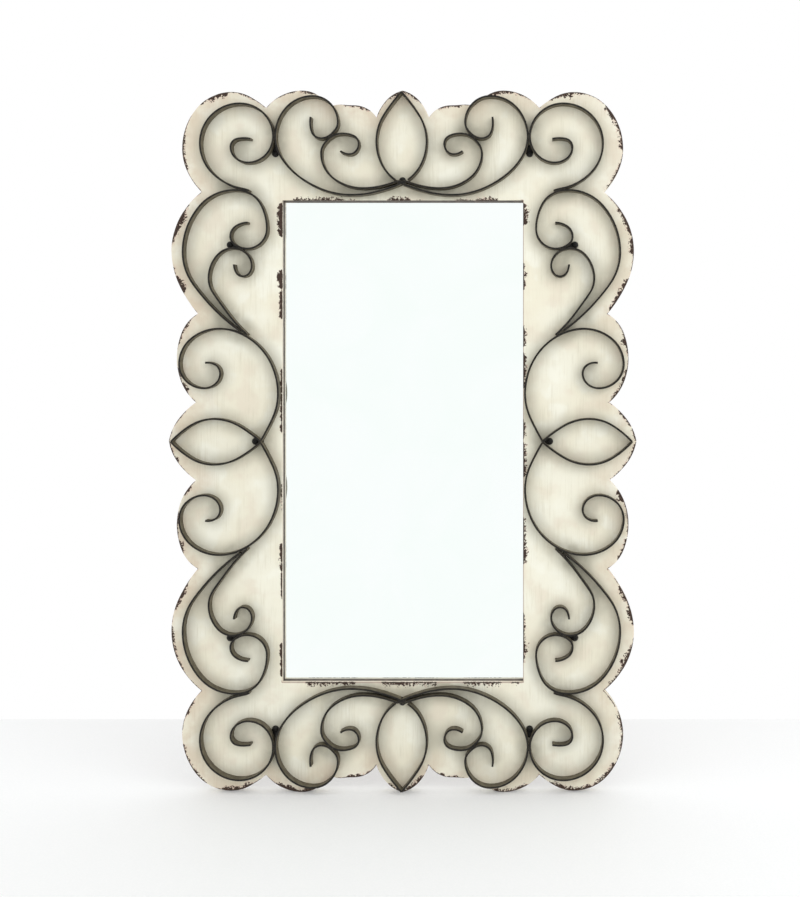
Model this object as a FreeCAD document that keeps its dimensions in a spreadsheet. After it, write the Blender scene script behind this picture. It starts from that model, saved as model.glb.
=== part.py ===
"""A lobed wooden wall mirror with scrolls of flat steel on its face.

A board with a lobed outline has a tall rectangular opening. The glass lies in a rebate behind the
opening, and a thin back panel, screwed to the board, holds it there. Flat steel strip, bent on edge
into scrolls and leaves, stands on the front. Small round tabs in the crotches between the strips
are screwed to the board. The mirror hangs from two ring hangers on its back.

X is across the mirror, Z is up, and the front faces -Y. The origin is in the middle of the whole
depth, width and height. Every quarter of the front is the mirror image of the others, so a scroll
is drawn once, in the quarter where X and Z are positive.

The bends of strip and wire are drawn as short flats, and small round pieces as polygons, which
keeps the mesh of so many repeated pieces light. Screws are heads only.
"""
import FreeCAD, Part
import math
import os

from FreeCAD import Vector

# Driving dimensions, in millimetres: alias, value, meaning
SIZES = (
    ("board_width", 609.6, "board over its side lobes"),
    ("board_height", 914.4, "board over its top and bottom lobes"),
    ("board_thickness", 15.0, "board from face to back"),
    ("opening_width", 314.0, "opening in the board"),
    ("opening_height", 628.0, "opening in the board"),
    ("rebate_width", 9.0, "ledge that the glass lies on, behind the opening's edge"),
    ("glass_thickness", 3.0, "mirror glass, flush with the back of the board"),
    ("glass_clearance", 1.0, "gap round the glass in its rebate"),
    ("panel_thickness", 3.0, "hardboard back panel"),
    ("panel_overlap", 26.0, "panel beyond the rebate on each side"),
    ("panel_screw_inset", 12.0, "panel screws from the panel's edge"),
    ("panel_corner_radius", 6.0, "rounded corners of the panel"),
    ("strip_thickness", 2.5, "flat steel strip of the scrolls"),
    ("strip_depth", 12.0, "strip from the board to its front edge"),
    ("weld_gap", 0.3, "between two strips that are welded together"),
    ("tab_radius", 4.5, "round tab in a crotch between two strips"),
    ("tab_thickness", 1.5, "round tab"),
    ("scroll_head_radius", 3.6, "pan head of a scroll screw"),
    ("scroll_head_height", 2.4, "pan head of a scroll screw"),
    ("small_head_radius", 3.4, "pan head of a screw on the back"),
    ("small_head_height", 2.0, "pan head of a screw on the back"),
    ("ring_wire", 3.0, "wire of a hanging ring"),
    ("ring_inner_width", 20.0, "hanging ring inside, along its bar"),
    ("ring_inner_height", 15.0, "hanging ring inside, square to its bar"),
    ("ring_corner_radius", 3.0, "wire's middle line where the bar meets the bow"),
    ("ring_play", 0.4, "radial gap between the ring's bar and the strap's eye"),
    ("strap_width", 12.0, "strap of a hanger"),
    ("strap_thickness", 1.2, "strap of a hanger"),
    ("strap_length", 46.0, "strap from the eye's middle to its end"),
    ("strap_screw_first", 25.0, "first strap screw below the eye"),
    ("strap_screw_pitch", 14.0, "between the two strap screws"),
    ("hanger_clearance", 22.0, "between the back panel and a strap"),
    ("bumper_radius", 8.0, "wall bumper"),
    ("bumper_thickness", 8.0, "wall bumper"),
    ("flat_sag", 0.235, "most that a flat of a bend lies inside the true curve"),
)

# Most degrees that a bend turns between two flats, and the sides of a small round piece
FLAT_TURN = 20
ROUND_SIDES = 12

# Below this many degrees a bend counts as straight, and below this a chain's ends as parallel
STRAIGHT_TURN = 0.001
PARALLEL = 1e-9

# The shape of a pan head: its straight rim over its height, its crown's top over its radius
RIM_SHARE = 0.4
CROWN_SHARE = 0.6

# The places of the scrolls are shares of the board's half width and half height. A knot is
# (x share, z share, heading in degrees, side). The heading is the way the strip runs there, and
# side moves the knot to the left of that heading by so many strip pitches, which seats strips
# beside each other where they are welded.
CORNER_MEETS_END_SHARE = (0.540, 0.8645)
CORNER_MEETS_SIDE_SHARE = (0.676, 0.710)
CURLS_MEET_SIDE_SHARE = (0.685, 0.547)
CURLS_MEET_END_SHARE = (0.3025, 0.864)
OUTER_TAIL_SHARE = (0.694, 0.3105)
INNER_TAIL_SHARE = (0.660, 0.2985)

CORNER_SHARES = (
    (0.640, 0.857, 12, 0),
    (0.725, 0.834, -90, 0),
    (0.651, 0.790, -180, 0),
    (*CORNER_MEETS_END_SHARE, -270, -0.5),
    (0.686, 0.957, -360, 0),
    (0.855, 0.845, -450, 0),
    (*CORNER_MEETS_SIDE_SHARE, -530, -1),
    (0.6499, 0.7047, -516, -1),
)
SIDE_OUTER_SHARES = (
    (0.652, 0.620, 0, 0),
    (0.726, 0.581, -90, 0),
    (*CURLS_MEET_SIDE_SHARE, -160, -0.5),
    (0.571, 0.603, -270, 0),
    (*CORNER_MEETS_SIDE_SHARE, -350, 0),
    (0.928, 0.537, -450, 0),
    (0.790, 0.3725, -495, 0),
    (*OUTER_TAIL_SHARE, -505, -1),
)
SIDE_INNER_SHARES = (
    (0.711, 0.502, -92, 0),
    (0.673, 0.468, -180, 0),
    (0.635, 0.498, -270, 0),
    (*CURLS_MEET_SIDE_SHARE, -340, -0.5),
    (0.818, 0.463, -450, 0),
    (0.754, 0.379, -485, 0),
    (*INNER_TAIL_SHARE, -498, -1),
)
SIDE_MIDDLE_SHARES = (
    (0.833, 0.2235, 170, 0),
    (0.769, 0.1935, 270, 0),
    (0.838, 0.1515, 360, 0),
    (0.943, 0.2195, 450, 0),
    (0.774, 0.320, 540, 0),
    (*INNER_TAIL_SHARE, 570, 0),
    (0.524, 0.136, 630, 0),
    (0.5955, 0.0044, 660, 0),
)
END_OUTER_SHARES = (
    (0.3855, 0.919, -80, 0),
    (0.341, 0.8585, -180, 0),
    (*CURLS_MEET_END_SHARE, -217, -0.5),
    (0.270, 0.9035, -270, 0),
    (0.377, 0.978, -360, 0),
    (*CORNER_MEETS_END_SHARE, -450, -0.5),
    (0.441, 0.7535, -502, 0),
    (0.212, 0.6985, -540, 0),
    (0.0045, 0.7301, -563, 0),
)
END_INNER_SHARES = (
    (0.259, 0.8225, -142, 0),
    (0.221, 0.8135, -180, 0),
    (0.1815, 0.843, -270, 0),
    (0.249, 0.872, -360, 0),
    (*CURLS_MEET_END_SHARE, -397, -0.5),
    (0.341, 0.816, -450, 0),
    (0.164, 0.7175, -540, 0),
    (0.0152, 0.7383, -562, 0),
)
SCROLL_SHARES = {
    "corner_scroll": CORNER_SHARES,
    "side_outer_scroll": SIDE_OUTER_SHARES,
    "side_inner_scroll": SIDE_INNER_SHARES,
    "side_middle_scroll": SIDE_MIDDLE_SHARES,
    "end_outer_scroll": END_OUTER_SHARES,
    "end_inner_scroll": END_INNER_SHARES,
}
END_LEAF_SHARES = ((0, 0.990, -48, 0), (0.1065, 0.850, -90, 0), (0.0263, 0.7409, -145, 0))
SIDE_LEAF_SHARES = ((0.979, 0, 133, 0), (0.797, 0.0645, 180, 0), (0.597, 0, 222, 0))

# The outline's lobes, from the top of the board round to its side
LOBE_SHARES = (
    ((0, 1, -14, 0), (0.112, 0.923, -72, 0)),
    ((0.112, 0.923, 58, 0), (0.207, 0.958, 0, 0), (0.302, 0.956, -20, 0)),
    ((0.302, 0.956, 42, 0), (0.430, 1.0, 0, 0), (0.584, 0.951, -50, 0)),
    ((0.584, 0.951, 40, 0), (0.732, 0.996, 0, 0), (0.943, 0.835, -90, 0), (0.860, 0.711, -135, 0)),
    ((0.860, 0.711, -38, 0), (0.989, 0.543, -90, 0), (0.876, 0.3635, -130, 0)),
    ((0.876, 0.3635, -30, 0), (0.966, 0.236, -90, 0), (0.884, 0.111, -140, 0)),
    ((0.884, 0.111, -35, 0), (1, 0, -80, 0)),
)

# Scroll screws: (x share, z share, across, up). Across and up say on how many sides it repeats.
TAB_SHARES = (
    (0.543, 0.8195, 2, 2),
    (0.7362, 0.5594, 2, 2),
    (0, 0.7425, 1, 2),
    (0.6285, 0, 2, 1),
)

# Where the hangers' eyes and the wall bumpers sit on the back, as shares of the board's half sizes
HANGER_HEIGHT_SHARE = 0.547
BUMPER_SHARES = (0.738, 0.842)

# Screws along the panel, as shares of the panel's half width and half height inside its inset
PANEL_SCREW_SHARES = ((1, 1), (1, 0.34), (1, -0.34), (1, -1), (0, 1), (0, -1))

# Where the planes of the board lie along Y, as expressions on the sheet
BACK_Y = "(Sizes.strip_depth + Sizes.board_thickness - Sizes.bumper_thickness) / 2"
FACE_Y = "(Sizes.strip_depth - Sizes.board_thickness - Sizes.bumper_thickness) / 2"
PANEL_Y = f"{BACK_Y} + Sizes.panel_thickness"
EYE_RISE = "Sizes.strap_thickness + Sizes.ring_play + Sizes.ring_wire / 2"
PANEL_HALF = "Sizes.opening_width / 2 + Sizes.rebate_width + Sizes.panel_overlap"
HANGER_X = f"({PANEL_HALF} + Sizes.hanger_clearance + Sizes.strap_width / 2)"
HANGER_Z = f"{HANGER_HEIGHT_SHARE} * Sizes.board_height / 2"

QUARTERS = {
    "top_left": (-1, 1),
    "top_right": (1, 1),
    "bottom_left": (-1, -1),
    "bottom_right": (1, -1),
}

doc = FreeCAD.newDocument("WallMirror")
sub_parts = []


def make_sheet():
    """The spreadsheet that holds the driving dimensions."""
    sheet = doc.addObject("Spreadsheet::Sheet", "Sizes")
    for row, (alias, value, meaning) in enumerate(SIZES, start=1):
        sheet.set(f"A{row}", alias)
        sheet.set(f"B{row}", str(value))
        sheet.set(f"C{row}", meaning)
        sheet.setAlias(f"B{row}", alias)
    doc.recompute()
    return sheet


sizes = make_sheet()


def heading_vector(degrees):
    """The unit vector of a heading, counted from +X towards +Z."""
    angle = math.radians(degrees)
    return Vector(math.cos(angle), math.sin(angle), 0)


def left_of(degrees):
    """The unit vector to the left of a heading."""
    return heading_vector(degrees + 90)


def place_knot(knot, pitch):
    """A knot's point in millimetres and its heading."""
    x_share, z_share, heading, side = knot
    point = Vector(x_share * sizes.board_width / 2, z_share * sizes.board_height / 2, 0)
    return point + left_of(heading) * side * pitch, heading


def meeting_point(start, start_heading, end, end_heading):
    """Where the two tangent arcs between two knots meet."""
    leave = heading_vector(start_heading)
    arrive = heading_vector(end_heading)
    span = end - start
    along = span.dot(leave + arrive)
    bend = 1 - leave.dot(arrive)
    if bend < PARALLEL:
        reach = span.dot(span) / (2 * along)
    else:
        reach = (math.sqrt(along ** 2 + 2 * bend * span.dot(span)) - along) / (2 * bend)
    return (start + leave * reach + end - arrive * reach) / 2


def half_turn(arc):
    """Half the degrees that an arc turns, to the left if positive."""
    start, heading, end = arc
    chord = end - start
    return (math.degrees(math.atan2(chord.y, chord.x)) - heading + 180) % 360 - 180


def along_arc(arc, share):
    """The point a share of the way along an arc, and the heading there."""
    start, heading, end = arc
    turn = half_turn(arc)
    if abs(turn) < STRAIGHT_TURN:
        reach = share
    else:
        reach = math.sin(math.radians(share * turn)) / math.sin(math.radians(turn))
    point = start + heading_vector(heading + share * turn) * (end - start).Length * reach
    return point, heading + 2 * share * turn


def chain(start, heading, ends):
    """The arcs, tangent to each other, that run from a start through a row of ends."""
    arcs = []
    for end in ends:
        arcs.append((start, heading, end))
        start, heading = along_arc(arcs[-1], 1)
    return arcs


def tangent_arcs(knots):
    """The chain of arcs that runs through the knots, two arcs from each to the next."""
    pitch = sizes.strip_thickness + sizes.weld_gap
    placed = [place_knot(knot, pitch) for knot in knots]
    ends = []
    for (start, start_heading), (end, end_heading) in zip(placed, placed[1:]):
        ends += [meeting_point(start, start_heading, end, end_heading), end]
    return chain(*placed[0], ends)


def flat_count(arc, thickness):
    """How many flats a bent strip or wire needs along an arc."""
    start, _, end = arc
    turn = abs(half_turn(arc))
    if turn < STRAIGHT_TURN:
        return 1
    radius = (end - start).Length / 2 / math.sin(math.radians(turn)) + thickness / 2
    flat_turn = 2 * math.degrees(math.acos(1 - sizes.flat_sag / radius))
    return math.ceil(2 * turn / min(flat_turn, FLAT_TURN))


def stations(arcs, thickness):
    """Where the flats along a chain of arcs meet, as points with their headings."""
    places = [along_arc(arcs[0], 0)]
    for arc in arcs:
        count = flat_count(arc, thickness)
        places += [along_arc(arc, step / count) for step in range(1, count + 1)]
    return places


def beside(places, distance):
    """The points that lie a distance to the left of stations."""
    return [point + left_of(heading) * distance for point, heading in places]


def polygon(points):
    """The lines of a closed polygon."""
    return [Part.LineSegment(a, b) for a, b in zip(points, points[1:] + points[:1])]


def strip_outline(knots, across, up):
    """The closed outline of a strip seen from the front, in one quarter."""
    thickness = sizes.strip_thickness
    places = stations(tangent_arcs(knots), thickness)
    edge = beside(places, thickness / 2) + beside(places, -thickness / 2)[::-1]
    return polygon([Vector(across * point.x, up * point.y, 0) for point in edge])


def board_outline():
    """The closed lobed outline of the board, its four quarters end to end."""
    quarter = [
        [along_arc(arc, share)[0] for share in (0, 0.5, 1)]
        for lobe in LOBE_SHARES
        for arc in tangent_arcs(lobe)
    ]
    outline = []
    for across, up in ((1, 1), (1, -1), (-1, -1), (-1, 1)):
        arcs = quarter if across == up else [arc[::-1] for arc in reversed(quarter)]
        for arc in arcs:
            outline.append(Part.Arc(*[Vector(across * p.x, up * p.y, 0) for p in arc]))
    return outline


def rectangle(width, height):
    """The four lines of a rectangle about the origin."""
    x, z = width / 2, height / 2
    return polygon([Vector(-x, -z, 0), Vector(x, -z, 0), Vector(x, z, 0), Vector(-x, z, 0)])


def origin_plane(body, role):
    """A body's own origin plane."""
    return next(item for item in body.Origin.OriginFeatures if item.Role == role)


def add_body(label, y_expression):
    """A sub-part whose front-view sketches lie in the plane that the expression gives."""
    body = doc.addObject("PartDesign::Body", label)
    body.Label = label
    body.setExpression(".Placement.Base.y", y_expression)
    sub_parts.append(body)
    return body


def add_sketch(body, name, geometry, role="XZ_Plane"):
    """A sketch on one of the body's origin planes."""
    sketch = body.newObject("Sketcher::SketchObject", name)
    sketch.AttachmentSupport = [(origin_plane(body, role), "")]
    sketch.MapMode = "FlatFace"
    sketch.addGeometry(geometry, False)
    return sketch


def add_pad(body, sketch, length):
    """A pad towards the front, its length bound to the sheet."""
    pad = body.newObject("PartDesign::Pad", sketch.Name + "_pad")
    pad.Profile = sketch
    pad.setExpression("Length", length)
    sketch.Visibility = False
    return pad


def add_edge_feature(body, pad, kind, name, measure, expression):
    """A fillet on a pad's edges along its depth, or a chamfer on the edges of its two faces."""
    doc.recompute()
    along_depth = kind == "Fillet"
    edges = [
        f"Edge{number}"
        for number, edge in enumerate(pad.Shape.Edges, start=1)
        if (edge.BoundBox.YLength > edge.BoundBox.XLength + edge.BoundBox.ZLength) == along_depth
    ]
    feature = body.newObject(f"PartDesign::{kind}", name)
    feature.Base = (pad, edges)
    feature.setExpression(measure, expression)


def tab_places():
    """Where the twelve tabs and their screws sit."""
    places = []
    for x_share, z_share, sides_across, sides_up in TAB_SHARES:
        x = x_share * sizes.board_width / 2
        z = z_share * sizes.board_height / 2
        for across in (1, -1)[:sides_across]:
            for up in (1, -1)[:sides_up]:
                places.append((across * x, up * z))
    return places


def panel_size():
    """Width and height of the back panel."""
    beyond = 2 * (sizes.rebate_width + sizes.panel_overlap)
    return sizes.opening_width + beyond, sizes.opening_height + beyond


def panel_screw_places():
    """Where the screws of the back panel sit."""
    width, height = panel_size()
    x = width / 2 - sizes.panel_screw_inset
    z = height / 2 - sizes.panel_screw_inset
    places = []
    for x_share, z_share in PANEL_SCREW_SHARES:
        for across in (1, -1) if x_share else (1,):
            places.append((across * x_share * x, z_share * z))
    return places


def strap_screw_places():
    """Where the screws of both hangers sit."""
    first = HANGER_HEIGHT_SHARE * sizes.board_height / 2 - sizes.strap_screw_first
    second = first - sizes.strap_screw_pitch
    x = (panel_size()[0] + sizes.strap_width) / 2 + sizes.hanger_clearance
    return [(across * x, z) for across in (-1, 1) for z in (first, second)]


def make_board():
    """The lobed board with its opening and the rebate behind it."""
    body = add_body("frame_board", BACK_Y)
    opening = rectangle(sizes.opening_width, sizes.opening_height)
    outline = add_sketch(body, "board_outline", board_outline() + opening)
    add_pad(body, outline, "Sizes.board_thickness")
    ledge = 2 * sizes.rebate_width
    rebate = rectangle(sizes.opening_width + ledge, sizes.opening_height + ledge)
    rebate_sketch = add_sketch(body, "board_rebate", rebate)
    pocket = body.newObject("PartDesign::Pocket", "board_rebate_pocket")
    pocket.Profile = rebate_sketch
    pocket.Reversed = True
    pocket.setExpression("Length", "Sizes.glass_thickness")
    rebate_sketch.Visibility = False


def make_glass():
    """The mirror glass in the rebate."""
    body = add_body("mirror_glass", BACK_Y)
    spread = 2 * (sizes.rebate_width - sizes.glass_clearance)
    sheet = rectangle(sizes.opening_width + spread, sizes.opening_height + spread)
    add_pad(body, add_sketch(body, "glass_outline", sheet), "Sizes.glass_thickness")


def make_back_panel():
    """The hardboard panel over the rebate."""
    body = add_body("back_panel", PANEL_Y)
    outline = add_sketch(body, "panel_outline", rectangle(*panel_size()))
    pad = add_pad(body, outline, "Sizes.panel_thickness")
    add_edge_feature(body, pad, "Fillet", "panel_corners", "Radius", "Sizes.panel_corner_radius")


def make_scrolls():
    """The 24 scrolls, six in each quarter."""
    for quarter, (across, up) in QUARTERS.items():
        for kind, knots in SCROLL_SHARES.items():
            label = f"{kind}_{quarter}"
            body = add_body(label, FACE_Y)
            sketch = add_sketch(body, label + "_outline", strip_outline(knots, across, up))
            add_pad(body, sketch, "Sizes.strip_depth")


def make_leaves():
    """The four leaves, each one side mirrored to make the other."""
    leaves = (
        ("top_leaf", END_LEAF_SHARES, 1, 1, "V_Axis"),
        ("bottom_leaf", END_LEAF_SHARES, 1, -1, "V_Axis"),
        ("right_leaf", SIDE_LEAF_SHARES, 1, 1, "H_Axis"),
        ("left_leaf", SIDE_LEAF_SHARES, -1, 1, "H_Axis"),
    )
    for label, knots, across, up, axis in leaves:
        body = add_body(label, FACE_Y)
        sketch = add_sketch(body, label + "_outline", strip_outline(knots, across, up))
        pad = add_pad(body, sketch, "Sizes.strip_depth")
        mirrored = body.newObject("PartDesign::Mirrored", label + "_both_sides")
        mirrored.Originals = [pad]
        mirrored.MirrorPlane = (sketch, [axis])
        body.Tip = mirrored


def add_group(label, solids, y):
    """Identical separate solids in one sub-part, at a plane along Y."""
    group = doc.addObject("Part::Feature", label)
    group.Label = label
    group.Shape = Part.makeCompound(solids)
    group.Placement.Base = Vector(0, y, 0)
    sub_parts.append(group)


def face_y():
    """The plane of the board's front face."""
    return (sizes.strip_depth - sizes.board_thickness - sizes.bumper_thickness) / 2


def back_y():
    """The plane of the board's back."""
    return face_y() + sizes.board_thickness


def turned(sections):
    """A small round piece through sections along Y, each a place and a radius there."""
    step = 2 * math.pi / ROUND_SIDES
    rims = []
    for y, radius in sections:
        angles = [step * number for number in range(ROUND_SIDES)]
        corners = [Vector(radius * math.cos(a), y, radius * math.sin(a)) for a in angles]
        rims.append(Part.makePolygon(corners + corners[:1]))
    return Part.makeLoft(rims, True, True)


def pan_head(radius, height, way):
    """The head of a screw, seated at the origin, that stands out to one way along Y."""
    rim, crown = way * RIM_SHARE * height, CROWN_SHARE * radius
    return turned([(0, radius), (rim, radius), (way * height, crown)])


def copies(shape, places):
    """Copies of a shape at (x, z) places."""
    return [shape.translated(Vector(x, 0, z)) for x, z in places]


def make_tabs_and_screws():
    """The twelve round tabs and the screws on them."""
    tab = turned([(0, sizes.tab_radius), (-sizes.tab_thickness, sizes.tab_radius)])
    add_group("scroll_tabs", copies(tab, tab_places()), face_y())
    head = pan_head(sizes.scroll_head_radius, sizes.scroll_head_height, -1)
    add_group("scroll_screws", copies(head, tab_places()), face_y() - sizes.tab_thickness)


def make_back_screws():
    """The screws of the panel and of the hangers, with their heads towards the wall."""
    head = pan_head(sizes.small_head_radius, sizes.small_head_height, 1)
    panel_seat = back_y() + sizes.panel_thickness
    add_group("back_panel_screws", copies(head, panel_screw_places()), panel_seat)
    strap_seat = back_y() + sizes.strap_thickness
    add_group("hanger_screws", copies(head, strap_screw_places()), strap_seat)


def make_hanger_straps():
    """The two straps, each a plate rolled into an eye at its upper end."""
    inner = sizes.ring_wire / 2 + sizes.ring_play
    thickness = sizes.strap_thickness
    outer = inner + thickness
    plate_end = -sizes.strap_length
    rolled_out = [(Vector(0, 0, 0), 90, Vector(outer, -outer, 0))]
    rolled_back = [(Vector(outer, -inner, 0), 0, Vector(thickness, 0, 0))]
    outside = [point for point, _ in stations(rolled_out, thickness)]
    inside = [point for point, _ in stations(rolled_back, thickness)]
    plate = [Vector(thickness, plate_end, 0), Vector(0, plate_end, 0)]
    for side, across in (("left", -1), ("right", 1)):
        body = add_body(f"hanger_strap_{side}", BACK_Y)
        body.setExpression(".Placement.Base.x", f"{across} * {HANGER_X}")
        body.setExpression(".Placement.Base.z", HANGER_Z)
        profile = polygon(outside + inside + plate)
        sketch = add_sketch(body, f"strap_{side}_side_view", profile, role="YZ_Plane")
        pad = add_pad(body, sketch, "Sizes.strap_width")
        pad.Midplane = True


def make_hanging_rings():
    """The two D rings, hanging down from the eyes of their straps."""
    wire = sizes.ring_wire
    half = (sizes.ring_inner_width + wire) / 2
    corner = sizes.ring_corner_radius
    bow = sizes.ring_inner_height + wire - half
    corners = [
        (half - corner, 0), (half, -corner), (half, -bow), (-half, -bow),
        (-half, -corner), (corner - half, 0), (0, 0),
    ]
    path = chain(Vector(0, 0, 0), 0, [Vector(x, z, 0) for x, z in corners])
    places = stations(path, wire)[:-1]
    outline = polygon(beside(places, wire / 2)) + polygon(beside(places, -wire / 2))
    for side, across in (("left", -1), ("right", 1)):
        body = add_body(f"hanging_ring_{side}", f"{BACK_Y} + {EYE_RISE}")
        body.setExpression(".Placement.Base.x", f"{across} * {HANGER_X}")
        body.setExpression(".Placement.Base.z", HANGER_Z)
        pad = add_pad(body, add_sketch(body, f"ring_{side}_outline", outline), "Sizes.ring_wire")
        pad.Midplane = True
        eighth = "Sizes.ring_wire / (2 + sqrt(2))"
        add_edge_feature(body, pad, "Chamfer", f"ring_{side}_eight_sided", "Size", eighth)


def make_bumpers():
    """The four wall bumpers near the corners of the board's back."""
    bumper = turned([(0, sizes.bumper_radius), (sizes.bumper_thickness, sizes.bumper_radius)])
    x_share, z_share = BUMPER_SHARES
    x = x_share * sizes.board_width / 2
    z = z_share * sizes.board_height / 2
    places = [(across * x, up * z) for across, up in QUARTERS.values()]
    add_group("wall_bumpers", copies(bumper, places), back_y())


def check_document():
    """Stops if an object has failed or a sub-part has no sound shape."""
    for item in doc.Objects:
        if {"Invalid", "Error"} & set(item.State):
            raise RuntimeError(f"{item.Name} failed: {item.State}")
    for item in sub_parts:
        if item.Shape.isNull() or not item.Shape.isValid() or not item.Shape.Solids:
            raise RuntimeError(f"{item.Label} has no sound shape")


def write_parts():
    """Writes each sub-part to its own file."""
    os.makedirs("parts", exist_ok=True)
    for item in sub_parts:
        item.Shape.exportStep(os.path.join("parts", item.Label + ".step"))


make_board()
make_glass()
make_back_panel()
make_scrolls()
make_leaves()
make_tabs_and_screws()
make_back_screws()
make_hanger_straps()
make_hanging_rings()
make_bumpers()
doc.recompute()
check_document()
write_parts()
print(len(sub_parts), "sub-parts written")
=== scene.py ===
"""Dresses the wall mirror: chipped and glazed paint, dark steel strips, welds, screws and its back.

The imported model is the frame. The board, strips, tabs, screws, rings and bumpers are replaced by
finer pieces of the same size and place. The glass, panel and straps keep their shape and get
materials.
"""

import math

import bmesh
import bpy
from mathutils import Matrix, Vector, geometry, kdtree, noise


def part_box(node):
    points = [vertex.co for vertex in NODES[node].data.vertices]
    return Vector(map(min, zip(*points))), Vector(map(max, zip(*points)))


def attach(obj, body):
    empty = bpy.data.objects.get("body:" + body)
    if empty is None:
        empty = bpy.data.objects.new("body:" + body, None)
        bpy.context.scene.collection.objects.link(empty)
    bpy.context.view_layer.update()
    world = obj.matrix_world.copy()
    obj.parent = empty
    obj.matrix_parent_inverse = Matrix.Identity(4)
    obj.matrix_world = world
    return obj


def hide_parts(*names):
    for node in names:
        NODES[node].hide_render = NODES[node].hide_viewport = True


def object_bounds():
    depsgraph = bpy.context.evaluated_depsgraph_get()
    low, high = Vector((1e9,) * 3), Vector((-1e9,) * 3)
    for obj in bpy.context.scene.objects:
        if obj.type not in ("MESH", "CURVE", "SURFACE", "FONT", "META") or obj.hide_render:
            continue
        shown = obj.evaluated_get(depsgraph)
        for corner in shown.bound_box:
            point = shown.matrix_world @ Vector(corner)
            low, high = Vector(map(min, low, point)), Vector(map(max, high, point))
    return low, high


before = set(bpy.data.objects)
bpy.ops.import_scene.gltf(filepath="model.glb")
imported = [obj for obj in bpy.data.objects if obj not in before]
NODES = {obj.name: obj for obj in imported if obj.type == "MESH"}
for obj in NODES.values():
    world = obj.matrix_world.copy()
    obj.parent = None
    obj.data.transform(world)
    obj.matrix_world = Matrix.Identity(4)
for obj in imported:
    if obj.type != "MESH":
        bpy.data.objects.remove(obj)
cad_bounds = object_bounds()

MM = 0.001
BODY = "mirror_body"
STRIPS = sorted(node for node in NODES if "_scroll_" in node or node.endswith("_leaf"))

# Points this close are one point
SAME_PLACE = 1e-6

# The photograph: its size, the board's middle, the pixel that the camera looks at squarely, and
# the scale on the board's face
IMAGE_WIDTH, IMAGE_HEIGHT = 800, 897
MIDDLE_X_PX, MIDDLE_Y_PX = 402.6, 441.3
FOOT_X_PX, FOOT_Y_PX = 545, 370
FACE_MM_PER_PX = 1.303
CAMERA_DISTANCE = 1457 * MM
SENSOR_WIDTH_MM = 36

# The floor: its back edge, behind the board's face, how far it runs to each side, and how much
# plain white it is mixed with where the camera sees it
FLOOR_BEHIND = 304 * MM
FLOOR_REACH = 3.0
FLOOR_LIFT = 0.2

# The lamp: where it hangs, facing the middle of the mirror, its width and its power
LAMP_PLACE = (1.25, -1.1, 0.7)
LAMP_WIDTH = 1.0
LAMP_WATTS = 4.5

board_low, board_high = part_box("frame_board")
FACE_Y, BACK_Y = board_low.y, board_high.y
GLASS_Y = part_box("mirror_glass")[0].y
STRIP_FRONT_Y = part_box("top_leaf")[0].y
BOARD_THICKNESS_MM = (BACK_Y - FACE_Y) / MM
WALL_DEPTH_MM = (GLASS_Y - FACE_Y) / MM


# Outlines in the plane of the board, as lists of (x, z)


def merged(mesh):
    """A bmesh of a mesh, its doubled vertices merged."""
    bm = bmesh.new()
    bm.from_mesh(mesh)
    bmesh.ops.remove_doubles(bm, verts=bm.verts, dist=SAME_PLACE)
    return bm


def front_loops(node):
    """The outlines of a node's front face, the longest first."""
    bm = merged(NODES[node].data)
    bm.normal_update()
    front = min(vertex.co.y for vertex in bm.verts)
    links = {}
    for edge in bm.edges:
        facing = [face for face in edge.link_faces if face.normal.y < -0.99]
        on_front = all(abs(vertex.co.y - front) < SAME_PLACE for vertex in edge.verts)
        if on_front and len(facing) == 1:
            a, b = edge.verts
            links.setdefault(a.index, []).append(b.index)
            links.setdefault(b.index, []).append(a.index)
    places = {vertex.index: (vertex.co.x, vertex.co.z) for vertex in bm.verts}
    bm.free()
    loops = []
    while links:
        start = next(iter(links))
        loop, here, before = [], start, None
        while not loop or here != start:
            loop.append(here)
            before, here = here, next(index for index in links[here] if index != before)
        for index in loop:
            del links[index]
        loops.append([Vector(places[index]) for index in loop])
    return sorted(loops, key=loop_length, reverse=True)


def loop_length(loop):
    """The length once round a closed loop."""
    return sum((b - a).length for a, b in zip(loop, loop[1:] + loop[:1]))


def counter_clockwise(loop):
    """The loop, turned to run counter-clockwise in (x, z)."""
    area = sum(a.x * b.y - b.x * a.y for a, b in zip(loop, loop[1:] + loop[:1]))
    return loop if area > 0 else loop[::-1]


def turn_at(loop, index):
    """How many radians a loop turns to the left at one of its points."""
    before, here, after = loop[index - 1], loop[index], loop[(index + 1) % len(loop)]
    incoming, outgoing = here - before, after - here
    return math.atan2(incoming.x * outgoing.y - incoming.y * outgoing.x, incoming.dot(outgoing))


def refine(loop, spacing, cusp=math.radians(24)):
    """The loop with points closer together, rounded except at its cusps, and its cusps' indices."""
    count = len(loop)
    sharp = [abs(turn_at(loop, index)) > cusp for index in range(count)]
    chords = [loop[(index + 1) % count] - loop[index] for index in range(count)]
    points, cusps = [], []
    for index, chord in enumerate(chords):
        here, after = loop[index], loop[(index + 1) % count]
        end_sharp = sharp[(index + 1) % count]
        along = chord.normalized()
        leave = (chords[index - 1].normalized() + along).normalized()
        arrive = (along + chords[(index + 1) % count].normalized()).normalized()
        if sharp[index]:
            leave = along if end_sharp else (2 * along.dot(arrive) * along - arrive)
        if end_sharp:
            arrive = along if sharp[index] else (2 * along.dot(leave) * along - leave)
        if sharp[index]:
            cusps.append(len(points))
        steps = max(1, math.ceil(chord.length / spacing))
        for step in range(steps):
            t = step / steps
            points.append(
                here * (2 * t ** 3 - 3 * t ** 2 + 1)
                + leave * chord.length * (t ** 3 - 2 * t ** 2 + t)
                + after * (3 * t ** 2 - 2 * t ** 3)
                + arrive * chord.length * (t ** 3 - t ** 2)
            )
    return points, cusps


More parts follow.
